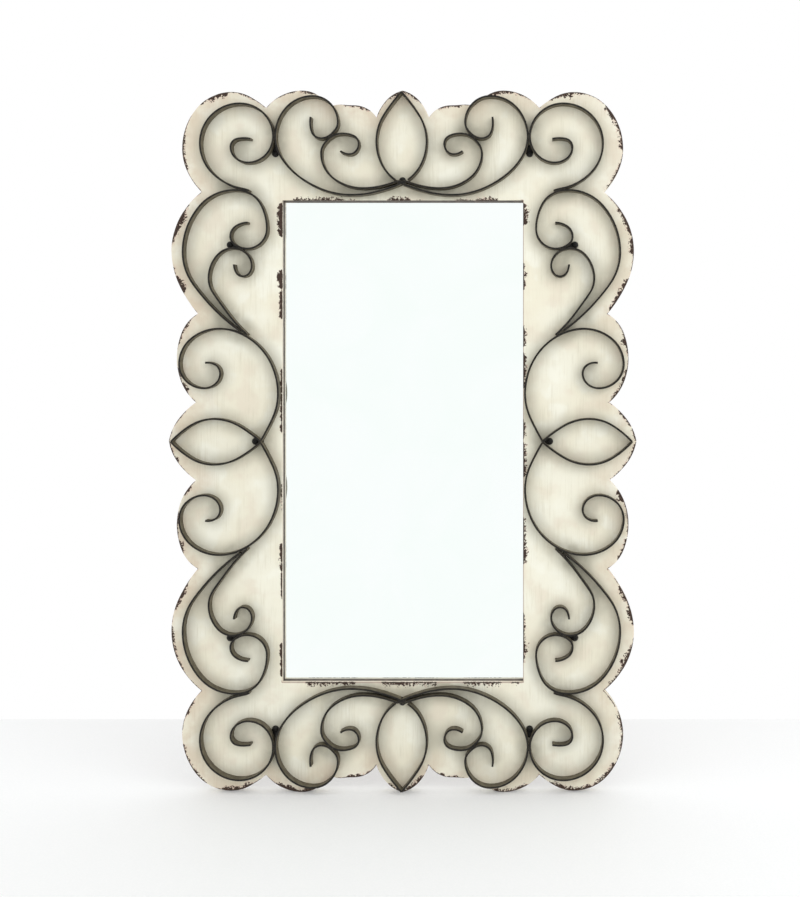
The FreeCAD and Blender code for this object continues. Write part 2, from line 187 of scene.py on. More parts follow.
def inward(loop):
    """The unit step into a counter-clockwise loop at each point, lengthened at its corners."""
    steps = []
    for index, here in enumerate(loop):
        before, after = loop[index - 1], loop[(index + 1) % len(loop)]
        a, b = (here - before).normalized(), (after - here).normalized()
        normal = Vector((-a.y - b.y, a.x + b.x))
        steps.append(normal.normalized() / max(0.5, normal.length / 2))
    return steps


def off_segment(spot, a, b):
    """How far a spot is from the line between two points."""
    along = b - a
    share = max(0.0, min(1.0, (spot - a).dot(along) / along.length_squared))
    return (spot - a - share * along).length


class Nearness:
    """How near spots are to a set of closed loops."""

    def __init__(self, loops):
        self.points, self.joined, self.owner = [], [], []
        for number, loop in enumerate(loops):
            for index, point in enumerate(loop):
                self.points.append(point)
                self.joined.append((loop[index - 1], loop[(index + 1) % len(loop)]))
                self.owner.append(number)
        self.tree = kdtree.KDTree(len(self.points))
        for index, point in enumerate(self.points):
            self.tree.insert((point.x, point.y, 0), index)
        self.tree.balance()

    def find(self, x, z):
        """The distance to the nearest loop and the index of its nearest point."""
        index = self.tree.find((x, z, 0))[1]
        spot, here = Vector((x, z)), self.points[index]
        return min(off_segment(spot, here, other) for other in self.joined[index]), index

    def crowd(self, x, z, reach):
        """The number of the loops' points within reach, those further off counting for less."""
        found = self.tree.find_range((x, z, 0), reach)
        return sum(1 - (distance / reach) ** 2 for _, _, distance in found)


# The half width and half height of the opening
OPENING_X, OPENING_Z = (max(values) for values in zip(*front_loops("frame_board")[1]))


# Meshes

# What delaunay_2d_cdt is asked for: triangles inside the given edges, and its least gap
INSIDE_EDGES, LEAST_GAP = 1, 1e-7


def mesh_object(name, vertices, faces, body=BODY, slot=None, materials=()):
    """A mesh piece in the frame, riding on a body."""
    mesh = bpy.data.meshes.new(name)
    mesh.from_pydata(vertices, [], faces)
    mesh.validate()
    piece = bpy.data.objects.new(name, mesh)
    bpy.context.scene.collection.objects.link(piece)
    for material in materials:
        mesh.materials.append(material)
    if body:
        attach(piece, body)
    return piece


def smooth(piece, sharp_degrees=38):
    """Smooth shading that keeps the edges sharper than an angle."""
    piece.data.shade_smooth()
    piece.data.set_sharp_from_angle(angle=math.radians(sharp_degrees))


def within(spot, loop):
    """Whether a spot lies inside a closed loop."""
    inside = False
    for a, b in zip(loop, loop[1:] + loop[:1]):
        if (a.y > spot.y) != (b.y > spot.y):
            if spot.x < a.x + (spot.y - a.y) * (b.x - a.x) / (b.y - a.y):
                inside = not inside
    return inside


def add_rings(vertices, faces, rings, hole=False):
    """Adds rings of points from front to back with walls between; returns the ids of each ring."""
    ids = []
    for ring in rings:
        ids.append(list(range(len(vertices), len(vertices) + len(ring))))
        vertices.extend(ring)
    for front, back in zip(ids, ids[1:]):
        for index in range(len(front)):
            onward = (index + 1) % len(front)
            quad = [front[index], back[index], back[onward], front[onward]]
            faces.append(quad[::-1] if hole else quad)
    return ids


def fill(vertices, faces, rims, extra=(), back=False):
    """Adds a flat face within a rim of vertex ids, round holes and through extra vertices."""
    ids = [index for rim in rims for index in rim] + list(extra)
    flat = [Vector((vertices[index][0], vertices[index][2])) for index in ids]
    edges, first = [], 0
    for rim in rims:
        edges += [(first + i, first + (i + 1) % len(rim)) for i in range(len(rim))]
        first += len(rim)
    holes = [(set(rim), flat[ids.index(rim[0]):ids.index(rim[0]) + len(rim)]) for rim in rims[1:]]
    answer = geometry.delaunay_2d_cdt(flat, edges, [], INSIDE_EDGES, LEAST_GAP)
    found, _, triangles, sources = answer[:4]
    for triangle in triangles:
        a, b, c = (found[index] for index in triangle)
        named = [ids[sources[index][0]] for index in triangle]
        if any(rim.issuperset(named) and within((a + b + c) / 3, hole) for rim, hole in holes):
            continue
        seen_from_front = (b - a).cross(c - a) > 0
        faces.append(named if seen_from_front != back else named[::-1])


def rounded_rings(loop, front, back, ease, into=1):
    """Rings of a prism's wall with a rounded front edge, into the loop or out of it."""
    rings = []
    for turn in (0, 30, 60, 90):
        inset = ease * (1 - math.sin(math.radians(turn)))
        drop = ease * (1 - math.cos(math.radians(turn)))
        rings.append([
            (point.x + into * inset * step.x, front + drop, point.y + into * inset * step.y)
            for point, step in zip(loop, inward(loop))
        ])
    rings.append([(point.x, back, point.y) for point in loop])
    return rings


def prism(loops, front, back, ease):
    """The vertices and faces of a plate between two depths, its front edges rounded.

    The first loop is its outline and any other is a hole in it.
    """
    vertices, faces, fronts, backs = [], [], [], []
    for number, loop in enumerate(loops):
        rings = rounded_rings(loop, front, back, ease, -1 if number else 1)
        ids = add_rings(vertices, faces, rings, hole=number > 0)
        fronts.append(ids[0])
        backs.append(ids[-1])
    fill(vertices, faces, fronts)
    fill(vertices, faces, backs, back=True)
    return vertices, faces


def tube_faces(total, sides, closed=False):
    """The walls of a tube whose vertices are rings of so many points, one after the other."""
    faces = []
    for first in range(0, total if closed else total - sides, sides):
        for side in range(sides):
            a, b = first + side, first + (side + 1) % sides
            faces.append([a, b, (b + sides) % total, (a + sides) % total])
    return faces


def joined(shapes):
    """Several shapes' vertices and faces as one."""
    vertices, faces = [], []
    for more_vertices, more_faces in shapes:
        first = len(vertices)
        vertices += more_vertices
        faces += [[first + index for index in face] for face in more_faces]
    return vertices, faces


def moved(shape, x, z):
    """A shape moved in the plane of the board."""
    return [(vx + x, vy, vz + z) for vx, vy, vz in shape[0]], shape[1]


# Materials

CREAM = (0.90, 0.88, 0.745, 1)
CREAM_LIGHT = (0.93, 0.92, 0.80, 1)
CREAM_WARM = (0.865, 0.825, 0.67, 1)
CREAM_SHADE = (0.68, 0.64, 0.49, 1)
BLUSH = (0.80, 0.72, 0.585, 1)
GLAZE = (0.66, 0.53, 0.395, 1)
# The grey of the painted shade beside and among the steel
PAINTED_SHADE_GREY = (0.46, 0.44, 0.345, 1)
PRIMER = (0.70, 0.50, 0.41, 1)
PRIMER_DARK = (0.30, 0.165, 0.135, 1)
BROWN = (0.055, 0.036, 0.028, 1)
BROWN_LIGHT = (0.15, 0.098, 0.076, 1)
WALL = (0.86, 0.77, 0.65, 1)
# The dark brown of the painted shade in the opening's wall
WALL_SHADE = (0.038, 0.024, 0.019, 1)

# The back's boards: their width, and as shares of it their shift and half the width of a joint
BOARD_WIDTH = 115 * MM
BOARD_SHIFT, JOINT_HALF_WIDTH = 0.31, 0.0022

# What the board's mesh says of each place, for its paint
BOARD_MEASURES = (
    "outline_mm", "opening_mm", "depth_mm", "steel_mm", "crowding", "outline_wear", "opening_wear"
)


class Shader:
    """Builds one material from short calls that each add a node.

    It starts with one colour, and lay() puts another over the ones so far.
    """

    def __init__(self, name, colour, **settings):
        self.material = bpy.data.materials.new(name)
        self.material.use_nodes = True
        self.tree = self.material.node_tree
        self.principled = self.tree.nodes["Principled BSDF"]
        for socket, value in settings.items():
            self.principled.inputs[socket.replace("_", " ")].default_value = value
        coordinates = self.add("ShaderNodeTexCoord")
        self.place, self.normal = coordinates.outputs["Object"], coordinates.outputs["Normal"]
        self.colour = colour

    def add(self, kind, **settings):
        """A new node with these settings."""
        node = self.tree.nodes.new(kind)
        for name, value in settings.items():
            setattr(node, name, value)
        return node

    def feed(self, socket, value):
        """Sets a socket to a number or colour, or links it to another socket."""
        if isinstance(value, bpy.types.NodeSocket):
            self.tree.links.new(value, socket)
        else:
            socket.default_value = value

    def noise(self, scale, detail, roughness, stretch=(1, 1, 1), distortion=0.0):
        """Noise with so many features to a metre, stretched by direction."""
        mapping = self.add("ShaderNodeMapping")
        mapping.inputs["Scale"].default_value = stretch
        self.feed(mapping.inputs["Vector"], self.place)
        node = self.add("ShaderNodeTexNoise")
        self.feed(node.inputs["Vector"], mapping.outputs["Vector"])
        self.feed(node.inputs["Scale"], scale)
        self.feed(node.inputs["Detail"], detail)
        self.feed(node.inputs["Roughness"], roughness)
        self.feed(node.inputs["Distortion"], distortion)
        return node.outputs["Fac"]

    def math(self, operation, a, b=0.0, c=0.0):
        """The answer of a math node."""
        node = self.add("ShaderNodeMath", operation=operation)
        for socket, value in zip(node.inputs, (a, b, c)):
            self.feed(socket, value)
        return node.outputs["Value"]

    def product(self, *factors):
        """All the factors multiplied together."""
        total = factors[0]
        for factor in factors[1:]:
            total = self.math("MULTIPLY", total, factor)
        return total

    def step(self, value, low, high, to_low=0.0, to_high=1.0):
        """A smooth step of a value from low to high."""
        node = self.add("ShaderNodeMapRange", interpolation_type="SMOOTHSTEP")
        for name, setting in zip(
            ("Value", "From Min", "From Max", "To Min", "To Max"), (value, low, high, to_low, to_high)
        ):
            self.feed(node.inputs[name], setting)
        return node.outputs["Result"]

    def mix(self, factor, a, b):
        """A mix of two colours."""
        node = self.add("ShaderNodeMix", data_type="RGBA")
        for name, value in (("Factor_Float", factor), ("A_Color", a), ("B_Color", b)):
            self.feed(next(socket for socket in node.inputs if socket.identifier == name), value)
        return next(socket for socket in node.outputs if socket.identifier == "Result_Color")

    def lay(self, colour, *factors):
        """Puts a colour over the ones so far, as much of it as the product of the factors."""
        self.colour = self.mix(self.product(*factors), self.colour, colour)

    def attribute(self, name):
        """What the mesh says of a place under this name."""
        return self.add("ShaderNodeAttribute", attribute_name=name).outputs["Fac"]

    def part(self, vector, axis):
        """One part of a vector, "X", "Y" or "Z"."""
        node = self.add("ShaderNodeSeparateXYZ")
        self.feed(node.inputs["Vector"], vector)
        return node.outputs[axis]

    def faces(self, axis, sign):
        """1 where a surface faces along an axis, 0 where it faces away or aside."""
        return self.step(self.math("MULTIPLY", self.part(self.normal, axis), sign), 0.35, 0.85)

    def bump(self, height, depth, strength, under=None):
        """A bump of a height from 0 to 1, so many metres deep."""
        node = self.add("ShaderNodeBump")
        self.feed(node.inputs["Strength"], strength)
        self.feed(node.inputs["Distance"], depth)
        self.feed(node.inputs["Height"], height)
        if under:
            self.feed(node.inputs["Normal"], under)
        return node.outputs["Normal"]

    def finish(self, **sockets):
        """The material, once its colour and these sockets are fed."""
        for name, value in {"Base_Color": self.colour, **sockets}.items():
            self.feed(self.principled.inputs[name.replace("_", " ")], value)
        return self.material

    def finish_grained(self, grain, smoothest, roughest, depth, strength, under=None):
        """The material, its roughness and its bumps both following a grain."""
        return self.finish(
            Roughness=self.step(grain, 0.3, 0.7, smoothest, roughest),
            Normal=self.bump(grain, depth, strength, under),
        )


def painted_board():
    """Cream paint, brushed upwards, glazed and chipped to the brown ground along its edges.

    The board's mesh carries measures in millimetres: how far a place is from the outline, from
    the opening and from the nearest steel, how deep it lies below the face, and how far wear
    reaches in from the outline and from the opening beside it. It also says how much steel
    stands round a place. The paint has painted shade: grey beside and among the steel, and
    dark brown in the opening's wall.
    """
    paint = Shader("painted_board", CREAM, Specular_IOR_Level=0.2)
    outer, opening, depth, metal, crowd, outline_wear, opening_wear = (
        paint.attribute(name) for name in BOARD_MEASURES
    )
    across, up = paint.part(paint.place, "X"), paint.part(paint.place, "Z")
    streaks = paint.noise(420, 5, 0.6, stretch=(1, 1, 0.05))
    fine_streaks = paint.noise(1500, 3, 0.6, stretch=(1, 1, 0.035))
    clouds, blotches = paint.noise(13, 3, 0.5), paint.noise(36, 4, 0.55)
    patches = paint.noise(27, 3, 0.5)
    jagged = paint.noise(150, 6, 0.65, distortion=0.6)

    # Cream in warmer, pinker and lighter patches, shaded along the brush's streaks
    paint.lay(CREAM_WARM, paint.step(clouds, 0.36, 0.62))
    paint.lay(BLUSH, paint.step(patches, 0.50, 0.68, 0.0, 0.55))
    paint.lay(CREAM_LIGHT, paint.step(patches, 0.47, 0.34, 0.0, 0.75))
    paint.lay(CREAM_SHADE, paint.step(streaks, 0.44, 0.74), paint.step(blotches, 0.36, 0.62), 0.45)
    paint.lay(CREAM_SHADE, paint.step(fine_streaks, 0.56, 0.80, 0.0, 0.22))

    # Glaze towards the outline, thinner on the right, and painted shade beside and among the steel
    glaze = paint.product(paint.step(outer, 36.0, 3.0), paint.step(blotches, 0.32, 0.62, 0.15, 1.0))
    paint.lay(GLAZE, glaze, paint.step(across, -0.15, 0.15, 0.60, 0.40))
    beside = paint.product(paint.step(metal, 15.0, 0.5), paint.step(outer, 16.0, 30.0), 0.25)
    shade_among_steel = paint.product(crowd, paint.step(blotches, 0.68, 0.36, 0.45, 1.0))
    shade_among_steel = paint.product(shade_among_steel, paint.step(outer, 6.0, 26.0), 0.8)
    paint.lay(PAINTED_SHADE_GREY, paint.math("MAXIMUM", beside, shade_among_steel))

    # How many millimetres a place lies inside the wear of the outline, the opening or the back
    line = paint.step(paint.noise(48, 3, 0.5), 0.40, 0.58, 0.0, 1.2)
    ragged = paint.step(jagged, 0.30, 0.62, 0.35, 1.2)
    reach = paint.math("MULTIPLY_ADD", outline_wear, ragged, line)
    outer_gap = paint.math("SUBTRACT", reach, paint.math("MULTIPLY_ADD", depth, 0.9, outer))
    level = paint.math("SUBTRACT", paint.math("ABSOLUTE", up), paint.product(opening, MM))
    at_end = paint.step(level, OPENING_Z - 3 * MM, OPENING_Z)
    low, high = paint.step(at_end, 0.0, 1.0, 0.9, 0.45), paint.step(at_end, 0.0, 1.0, 1.08, 1.5)
    spikes = paint.step(paint.noise(430, 3, 0.6), 0.40, 0.62, low, high)
    spikes = paint.product(spikes, paint.step(jagged, 0.30, 0.60, 0.45, 1.2))
    reach = paint.math("MULTIPLY_ADD", opening_wear, spikes, -0.7)
    inner_gap = paint.math("SUBTRACT", reach, paint.math("MULTIPLY_ADD", depth, 1.6, opening))
    above_back = paint.math("SUBTRACT", BOARD_THICKNESS_MM, depth)
    back_gap = paint.math("SUBTRACT", paint.product(jagged, 3.0), above_back)
    gap = paint.math("MAXIMUM", paint.math("MAXIMUM", outer_gap, inner_gap), back_gap)

    # Lace along the edge of the wear and holes in it, both stronger on the right
    rightwards = paint.step(across, -0.12, 0.12, 0.6, 1.9)
    spongy = paint.product(paint.step(paint.noise(33, 2, 0.5), 0.42, 0.58, 0.7, 1.2), rightwards)
    off_edge = paint.step(paint.math("MINIMUM", outer, opening), 0.5, 1.8)
    lace = paint.math("MULTIPLY_ADD", paint.noise(560, 3, 0.6), 5.0, -2.5)
    lace = paint.product(lace, paint.step(gap, -3.0, -0.6), spongy)
    lace = paint.product(lace, paint.math("MULTIPLY_ADD", off_edge, 0.7, 0.3))
    gap = paint.math("ADD", gap, lace)
    wide = paint.math("MAXIMUM", paint.step(rightwards, 1.0, 1.6), paint.step(outer, 30.0, 20.0))
    pits = paint.step(paint.noise(400, 2, 0.5), 0.49, 0.56)
    holes = paint.product(off_edge, pits, paint.step(gap, 5.5, 1.5), wide, 2.6)
    chip = paint.step(paint.math("SUBTRACT", gap, holes), 0.0, 0.35)

    # Primer along the right and lower edge of the opening and round the chips
    at_right = paint.step(across, OPENING_X - 4 * MM, OPENING_X - 1 * MM)
    at_foot = paint.step(up, 4 * MM - OPENING_Z, 1 * MM - OPENING_Z)
    arris = paint.product(paint.step(opening, 1.3, 0.6), paint.step(depth, 1.6, 0.8), 0.7)
    paint.lay(PRIMER_DARK, arris, paint.math("MAXIMUM", at_right, at_foot))
    rim = paint.step(paint.noise(300, 4, 0.6), 0.42, 0.58)
    paint.lay(PRIMER, paint.step(gap, -0.9, 0.0), rim, 0.6)

    # The opening's wall, with mottled brown painted shade near the glass,
    # and over almost all of it where it faces down
    on_wall = paint.product(paint.step(depth, 0.5, 1.3), paint.step(opening, 0.8, 0.2))
    paint.lay(WALL, on_wall, 0.7)
    lit_depth = paint.math("MULTIPLY_ADD", jagged, 2.0, 0.53 * WALL_DEPTH_MM - 1.0)
    lit_depth = paint.math("MULTIPLY_ADD", paint.faces("Z", -1.0), -0.45 * WALL_DEPTH_MM, lit_depth)
    shaded_wall = paint.mix(paint.step(paint.noise(170, 5, 0.65), 0.42, 0.70), WALL_SHADE, BROWN_LIGHT)
    paint.lay(shaded_wall, on_wall, paint.step(paint.math("SUBTRACT", depth, lit_depth), 0.0, 0.8), 0.92)

    brown = paint.mix(paint.step(paint.noise(520, 5, 0.6), 0.5, 0.75), BROWN, BROWN_LIGHT)
    paint.lay(brown, chip)
    relief = paint.bump(streaks, 0.25 * MM, 0.35)
    relief = paint.bump(paint.math("SUBTRACT", 1.0, chip), 0.35 * MM, 0.8, under=relief)
    return paint.finish(Roughness=paint.math("MULTIPLY_ADD", chip, 0.25, 0.55), Normal=relief)


def bare_board():
    """Brown stained wood, glued up from upright boards, with cream overspray round its edge."""
    wood = Shader("bare_board", (0.115, 0.066, 0.037, 1), Specular_IOR_Level=0.25)
    grain = wood.noise(130, 6, 0.62, stretch=(1, 1, 0.035), distortion=0.35)
    pores = wood.noise(1300, 3, 0.6, stretch=(1, 1, 0.04))
    boards = wood.math("MULTIPLY_ADD", wood.part(wood.place, "X"), 1 / BOARD_WIDTH, BOARD_SHIFT)
    tone = wood.add("ShaderNodeTexWhiteNoise", noise_dimensions="1D")
    wood.feed(tone.inputs["W"], wood.math("FLOOR", boards))

    # Joints lie beside each board and down its middle
    beside = wood.math("PINGPONG", boards, 0.5)
    off_middle = wood.math("ABSOLUTE", wood.math("SUBTRACT", beside, 0.5))
    at_joint = wood.math(
        "MAXIMUM",
        wood.math("LESS_THAN", off_middle, JOINT_HALF_WIDTH),
        wood.math("LESS_THAN", beside, JOINT_HALF_WIDTH),
    )
    wood.lay((0.255, 0.162, 0.098, 1), wood.step(grain, 0.36, 0.66))
    wood.lay((0.16, 0.096, 0.055, 1), tone.outputs["Value"], 0.4)
    wood.lay((0.07, 0.040, 0.023, 1), wood.step(pores, 0.54, 0.74, 0.0, 0.6))
    wood.lay((0.04, 0.024, 0.015, 1), at_joint, 0.7)
    reach = wood.math("MULTIPLY_ADD", wood.noise(22, 4, 0.6), 26.0, -7.0)
    speckle = wood.step(wood.noise(700, 4, 0.7), 0.46, 0.62)
    wood.lay(CREAM_WARM, wood.step(wood.attribute("outline_mm"), reach, 0.0), speckle, 0.6)
    relief = wood.bump(grain, 0.25 * MM, 0.35)
    return wood.finish_grained(pores, 0.62, 0.8, 0.12 * MM, 0.5, under=relief)


def dark_steel():
    """Flat steel strip in olive brown bronze lacquer, its front faces near black with painted shade.
    """
    steel = Shader("dark_steel", (0.098, 0.084, 0.056, 1), Specular_IOR_Level=0.25)
    mottle, scale = steel.noise(120, 6, 0.62), steel.noise(900, 4, 0.6)
    drawn = steel.noise(260, 4, 0.6, stretch=(1, 5, 1))
    uneven = steel.step(mottle, 0.36, 0.66)
    rubbed = steel.product(steel.step(scale, 0.56, 0.72), steel.step(mottle, 0.48, 0.62), 0.5)
    edge = steel.mix(uneven, (0.008, 0.007, 0.006, 1), (0.022, 0.019, 0.014, 1))
    steel.lay((0.165, 0.145, 0.100, 1), uneven)
    steel.lay((0.060, 0.051, 0.034, 1), steel.step(drawn, 0.50, 0.72, 0.0, 0.5))
    # Painted shade: the faces that look forward get the near black
    steel.lay(edge, steel.faces("Y", -1.0))
    steel.lay((0.15, 0.130, 0.092, 1), rubbed)
    return steel.finish_grained(scale, 0.44, 0.62, 0.12 * MM, 0.4)


def black_steel():
    """Black lacquer on the tabs and their screws."""
    steel = Shader("black_steel", (0.006, 0.006, 0.005, 1), Specular_IOR_Level=0.3)
    mottle = steel.noise(700, 5, 0.6)
    steel.lay((0.020, 0.018, 0.015, 1), steel.step(mottle, 0.4, 0.7))
    return steel.finish_grained(mottle, 0.38, 0.55, 0.1 * MM, 0.4)


def mirror_glass():
    """Silvered glass with a faint green cast and the faintest wipe marks."""
    glass = Shader("mirror", (0.935, 0.99, 0.968, 1), Metallic=1.0)
    wipes = glass.noise(9, 3, 0.5, distortion=0.8)
    glass.lay((0.955, 0.995, 0.985, 1), glass.step(wipes, 0.3, 0.7))
    return glass.finish(Roughness=glass.step(wipes, 0.35, 0.7, 0.015, 0.03))


def hardboard():
    """The smooth side of brown hardboard, speckled with its fibres."""
    panel = Shader("hardboard", (0.118, 0.060, 0.030, 1), Specular_IOR_Level=0.3)
    fibres, flecks = panel.noise(1400, 5, 0.6), panel.noise(420, 4, 0.7, distortion=0.4)
    panel.lay((0.150, 0.079, 0.041, 1), panel.step(panel.noise(7, 3, 0.5), 0.3, 0.7))
    panel.lay((0.215, 0.125, 0.068, 1), panel.step(flecks, 0.55, 0.72, 0.0, 0.6))
    panel.lay((0.066, 0.033, 0.017, 1), panel.step(flecks, 0.42, 0.30, 0.0, 0.5))
    return panel.finish_grained(fibres, 0.42, 0.6, 0.08 * MM, 0.5)


def plated_steel(name, colour, roughness):
    """Plated steel with fine marks from its pressing."""
    steel = Shader(name, colour, Metallic=1.0)
    marks = steel.noise(1100, 4, 0.6, stretch=(1, 1, 0.25))
    worn = tuple(0.8 * channel for channel in colour[:3]) + (1,)
    steel.lay(worn, steel.step(marks, 0.4, 0.7))
    return steel.finish_grained(marks, roughness, roughness + 0.15, 0.05 * MM, 0.4)


def black_rubber():
    """Matt moulded rubber."""
    rubber = Shader("black_rubber", (0.016, 0.016, 0.016, 1), Roughness=0.75)
    grain = rubber.noise(2200, 3, 0.5)
    rubber.lay((0.032, 0.032, 0.031, 1), grain)
    return rubber.finish(Normal=rubber.bump(grain, 0.08 * MM, 0.5))


def floor_white():
    """A white floor with a fine grain, plain white where the mirror and the steel reflect it."""
    floor = Shader("floor_white", (0.935, 0.95, 0.95, 1), Roughness=0.6)
    grain = floor.noise(330, 4, 0.7)
    floor.lay((0.98, 0.985, 0.985, 1), floor.step(grain, 0.35, 0.75))
    floor.finish(Normal=floor.bump(grain, 0.6 * MM, 0.5))
    path = floor.add("ShaderNodeLightPath").outputs
    mirrored = floor.math("MAXIMUM", path["Is Glossy Ray"], path["Is Transmission Ray"])
    seen = floor.product(path["Is Camera Ray"], FLOOR_LIFT)
    white = floor.add("ShaderNodeEmission")
    blend = floor.add("ShaderNodeMixShader")
    floor.feed(blend.inputs[0], floor.math("MAXIMUM", mirrored, seen))
    floor.feed(blend.inputs[1], floor.principled.outputs["BSDF"])
    floor.feed(blend.inputs[2], white.outputs["Emission"])
    floor.feed(floor.tree.nodes["Material Output"].inputs["Surface"], blend.outputs["Shader"])
    return floor.material


PAINTED, BARE = painted_board(), bare_board()
DARK_STEEL, BLACK_STEEL = dark_steel(), black_steel()
NICKEL = plated_steel("plated_steel", (0.62, 0.59, 0.53, 1), 0.26)
ZINC = plated_steel("plated_screws", (0.50, 0.48, 0.44, 1), 0.36)
RUBBER = black_rubber()


# The board

OUTLINE_SPACING = 2.0 * MM
FACE_SPACING = 3.6 * MM
RING_INSETS = (2.2 * MM, 4.6 * MM)
BACK_INSETS = (5 * MM, 12 * MM)
FAR_MM = 60.0

# How far the board's front edge is eased, how much further where wear has bitten, and the number
# of its bites and nicks to a metre
EASED = 0.8 * MM
WORN_AWAY = 1.2 * MM
BITES, NICKS = 38, 260

# Where the paint is worn off along the outline, by lobe, counted counter-clockwise from the
# middle of the top. A patch is (from, to, reach): from and to are hundredths of the lobe's length,
# and reach is how many millimetres the bare patch runs in from the edge.
OUTLINE_WEAR = {
    0: ((0, 45, 2.6),),
    1: ((18, 50, 3.9), (50, 82, 2.0)),
    2: ((25, 46, 2.8), (49, 66, 2.8), (66, 76, 1.3)),
    3: ((8, 46, 1.8), (26, 41, 6.5), (60, 87, 2.9)),
    4: ((12, 45, 2.8), (18, 40, 7.5), (59, 69, 2.0), (69, 83, 6.5)),
    5: ((7, 36, 2.6), (57, 72, 3.0), (72, 90, 2.0), (75, 87, 6.5)),
    6: ((35, 100, 1.3),),
    7: ((0, 36, 2.6), (34, 56, 4.6)),
    8: ((7, 21, 3.9), (37, 66, 2.0), (66, 81, 5.2)),
    9: ((11, 34, 4.0), (45, 80, 2.9)),
    10: ((5, 17, 2.8), (33, 60, 2.6), (69, 91, 5.0)),
    11: ((18, 76, 5.0),),
    12: ((25, 66, 3.0), (66, 82, 1.3)),
    13: ((54, 100, 2.8),),
    14: ((0, 72, 4.4),),
    15: ((27, 48, 3.9), (47, 76, 2.2)),
    16: ((28, 80, 3.9),),
    17: ((7, 37, 5.0), (36, 57, 3.9), (62, 88, 2.8)),
    18: ((4, 41, 3.2), (23, 35, 7.5), (55, 72, 5.2), (71, 86, 3.9)),
    19: ((11, 36, 2.8), (34, 74, 1.4), (72, 87, 7.5)),
    20: ((30, 100, 2.0),),
    21: ((0, 34, 2.8), (35, 80, 2.6)),
    22: ((3, 41, 3.0), (54, 81, 2.2), (63, 73, 7.5)),
    23: ((2, 29, 4.6), (46, 60, 5.2), (61, 85, 4.6)),
    24: ((2, 20, 2.6), (27, 54, 5.0), (68, 93, 2.8), (75, 84, 7.5)),
    25: ((24, 42, 2.8), (41, 82, 4.4)),
    26: ((17, 38, 3.9), (36, 74, 2.0)),
    27: ((50, 100, 3.9),),
}

# The same along the opening, by side: from and to are millimetres up or to the right from the
# middle of the side
OPENING_WEAR = {
    "left": (
        (265, 312, 6.5), (197, 225, 6.2), (157, 198, 4.4), (9, 96, 3.2), (-96, -52, 2.2),
        (-171, -131, 4.2), (-208, -168, 2.4), (-309, -261, 3.6),
    ),
    "right": (
        (280, 311, 6.8), (220, 234, 3.4), (196, 223, 5.8), (121, 152, 4.8), (67, 117, 5.4),
        (1, 30, 4.6), (-48, 0, 5.0), (-137, -97, 4.4), (-161, -134, 6.4), (-261, -222, 3.4),
        (-278, -258, 6.4), (-291, -273, 3.2),
    ),
    "top": (
        (-145, -74, 3.3), (-75, -57, 1.8), (-22, 13, 4.0), (12, 29, 1.8), (66, 95, 2.3),
        (92, 126, 3.8),
    ),
    "bottom": ((-129, -60, 4.4), (-30, 47, 4.4), (77, 130, 4.8), (139, 155, 3.0)),
}
WEAR_TAPER_MM = 4.0

# Steel round a place on the board: the reach that is counted, and the counts at which the painted
# shade among the steel starts and is darkest
CROWD_REACH = 24 * MM
CROWD_FREE, CROWD_FULL = 10, 62


def lobe_places(loop, cusps):
    """For each point of the outline, its lobe's number, length and the share of it passed."""
    top = max(range(len(cusps)), key=lambda index: loop[cusps[index]].y - abs(loop[cusps[index]].x))
    cusps = cusps[top:] + [cusp + len(loop) for cusp in cusps[:top + 1]]
    places = [None] * len(loop)
    for lobe, (start, end) in enumerate(zip(cusps, cusps[1:])):
        steps = [
            (loop[(index + 1) % len(loop)] - loop[index % len(loop)]).length
            for index in range(start, end)
        ]
        for index in range(start, end):
            places[index % len(loop)] = lobe, sum(steps), (index - start) / (end - start)
    return places


def wear_at(place, patches):
    """How far the worn patches (from, to, reach) come in at a place along an edge, in mm."""
    return max([0.0] + [
        reach * min(1.0, (place - start) / WEAR_TAPER_MM, (end - place) / WEAR_TAPER_MM)
        for start, end, reach in patches
    ])


def outline_wear_at(lobe, length, share):
    """How far wear comes in at a place on the outline."""
    length_mm = length / MM
    return wear_at(share * length_mm, [
        (start / 100 * length_mm, end / 100 * length_mm, reach)
        for start, end, reach in OUTLINE_WEAR.get(lobe, ())
    ])


def opening_wear_at(x, z):
    """How far wear comes in at the place on the opening that is beside a spot."""
    if abs(x) - OPENING_X > abs(z) - OPENING_Z:
        return wear_at(z / MM, OPENING_WEAR["right" if x > 0 else "left"])
    return wear_at(x / MM, OPENING_WEAR["top" if z > 0 else "bottom"])


def worn(point):
    """How far the board's front edge is eased at a place, with more where wear has bitten."""
    spot = Vector((point.x, FACE_Y, point.y))
    bite = noise.noise(spot * BITES) + 0.5 * noise.noise(spot * NICKS)
    return EASED + max(0.0, bite) * WORN_AWAY


def board_rings(loop, end, into=1):
    """Rings down a wall of the board: its worn front edge, then straight to its end."""
    rings = []
    for inset, drop in ((1.0, 0.0), (0.45, 0.15), (0.15, 0.45), (0.0, 1.0)):
        rings.append([
            (point.x + into * step.x * inset * worn(point), FACE_Y + drop * worn(point),
             point.y + into * step.y * inset * worn(point))
            for point, step in zip(loop, inward(loop))
        ])
    rings.append([(point.x, end, point.y) for point in loop])
    return rings


def grid_points(half_width, half_height, spacing):
    """A staggered grid of (x, z) points over the board."""
    points = []
    rows = math.floor(half_height / spacing)
    columns = math.floor(half_width / spacing)
    for row in range(-rows, rows + 1):
        shift = 0.25 if row % 2 else -0.25
        points += [
            Vector(((column + shift) * spacing, row * spacing))
            for column in range(-columns, columns + 1)
        ]
    return points


def inset_points(outline, steps, near_outline, inset, share):
    """Points on a ring inside the outline, but for those that crowd a neighbouring lobe."""
    spots = [point + step * inset for point, step in zip(outline, steps)]
    return [spot for spot in spots if near_outline.find(*spot)[0] > share * inset]


